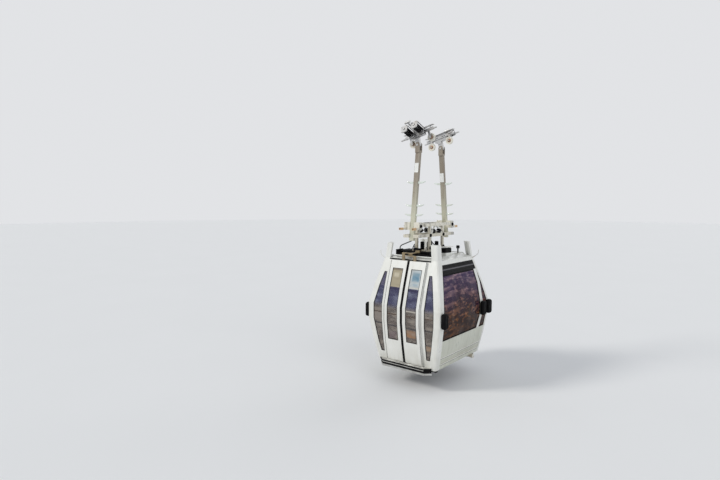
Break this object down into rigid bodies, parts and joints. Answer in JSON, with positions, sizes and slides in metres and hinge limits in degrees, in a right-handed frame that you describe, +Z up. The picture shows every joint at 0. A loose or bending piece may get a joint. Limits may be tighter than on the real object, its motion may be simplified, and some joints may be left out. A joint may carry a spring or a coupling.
{
  "type": "cable car cabin",
  "caption": "Glazed passenger cabin with two sliding door leaves, hung on two leaning arms from spring grips on a pair of ropes.",
  "frame": {"origin": "midway between the axes of the two ropes, straight above the pins that the cabin swings on", "axes": "+X along the ropes towards their rising end, seen from above; +Y across them, away from the doors; +Z up"},
  "size_m": [1.87, 2.034, 4.8312],
  "materials": {
    "white_paint": "gloss paint",
    "panel_paint": "gloss paint",
    "cream_paint": "satin paint",
    "dark_paint": "satin paint",
    "tinted_glass": "polished",
    "door_glass": "polished",
    "black_rubber": "matte",
    "floor_rubber": "ribbed matte",
    "bench_shell": "textured",
    "tread_metal": "brushed",
    "galvanised": "galvanised",
    "steel": "machined",
    "blank_plate": "gloss",
    "white_roller": "satin"
  },
  "bodies": {
    "grips": {"front_grip_body": "steel", "grip_springs": "dark_paint", "rear_grip_body": "steel"},
    "cabin": {"corner_posts": "white_paint", "window_posts": "white_paint", "end_headers": "white_paint", "vent_strips": "dark_paint", "end_panels": "panel_paint", "window_gaskets": "black_rubber", "end_windows": "tinted_glass", "window_fillers": "dark_paint", "door_frame": "white_paint", "flank_windows": "door_glass", "rear_wall": "white_paint", "rear_windows": "tinted_glass", "roof_panel": "white_paint", "floor_pan": "floor_rubber", "under_frame": "dark_paint", "lifting_lugs": "white_paint", "door_tread": "tread_metal", "bumpers": "black_rubber", "bench_bases": "bench_shell", "bench_pads": "bench_shell", "grab_rail": "dark_paint", "door_drive": "dark_paint", "roof_rods": "steel", "roof_buffers": "black_rubber", "suspension_frame": "cream_paint", "frame_braces": "galvanised", "damper": "steel", "frame_bushes": "black_rubber", "hanger_arms": "galvanised", "swing_pins": "steel", "arm_rungs": "galvanised", "label_plates": "blank_plate"},
    "right_door": {"right_leaf": "white_paint", "right_leaf_window": "door_glass", "right_leaf_seal": "black_rubber", "right_leaf_hanger": "steel"},
    "left_door": {"left_leaf": "white_paint", "left_leaf_window": "door_glass", "left_leaf_seal": "black_rubber", "left_leaf_hanger": "steel"},
    "front_jaw": {"front_jaw": "steel"},
    "rear_jaw": {"rear_jaw": "steel"},
    "front_lower_roller": {"front_lower_roller": "white_roller"},
    "front_upper_roller": {"front_upper_roller": "white_roller"},
    "rear_lower_roller": {"rear_lower_roller": "white_roller"},
    "rear_upper_roller": {"rear_upper_roller": "white_roller"}
  },
  "joints": [
    {"name": "cabin_swing", "type": "hinge", "parent": "grips", "child": "cabin", "pos_m": [0, 0, -0.18], "axis": [0, 1, 0], "range_deg": [-25, 25]},
    {"name": "right_door_slide", "type": "slide", "parent": "cabin", "child": "right_door", "axis": [1, 0, 0], "range_m": [0, 0.39]},
    {"name": "left_door_slide", "type": "slide", "parent": "cabin", "child": "left_door", "axis": [-1, 0, 0], "range_m": [0, 0.39]},
    {"name": "front_jaw_hinge", "type": "hinge", "parent": "grips", "child": "front_jaw", "pos_m": [-0.02019, -0.486, 0.07534], "axis": [-0.9659, 0, -0.2588], "range_deg": [0, 12], "stiffness_Nm_per_rad": 60, "springref_deg": -5.73},
    {"name": "front_lower_roller_spin", "type": "hinge", "parent": "grips", "child": "front_lower_roller", "pos_m": [-0.18231, -0.348, -0.15031], "axis": [0, 1, 0], "continuous": true},
    {"name": "front_upper_roller_spin", "type": "hinge", "parent": "grips", "child": "front_upper_roller", "pos_m": [0.23304, -0.348, -0.03902], "axis": [0, 1, 0], "continuous": true},
    {"name": "rear_jaw_hinge", "type": "hinge", "parent": "grips", "child": "rear_jaw", "pos_m": [-0.02019, 0.486, 0.07534], "axis": [0.9659, 0, 0.2588], "range_deg": [0, 12], "stiffness_Nm_per_rad": 60, "springref_deg": -5.73},
    {"name": "rear_lower_roller_spin", "type": "hinge", "parent": "grips", "child": "rear_lower_roller", "pos_m": [-0.18231, 0.348, -0.15031], "axis": [0, 1, 0], "continuous": true},
    {"name": "rear_upper_roller_spin", "type": "hinge", "parent": "grips", "child": "rear_upper_roller", "pos_m": [0.23304, 0.348, -0.03902], "axis": [0, 1, 0], "continuous": true}
  ],
  "couplings": [
    {"joint": "left_door_slide", "follows": "right_door_slide", "ratio": 1}
  ]
}
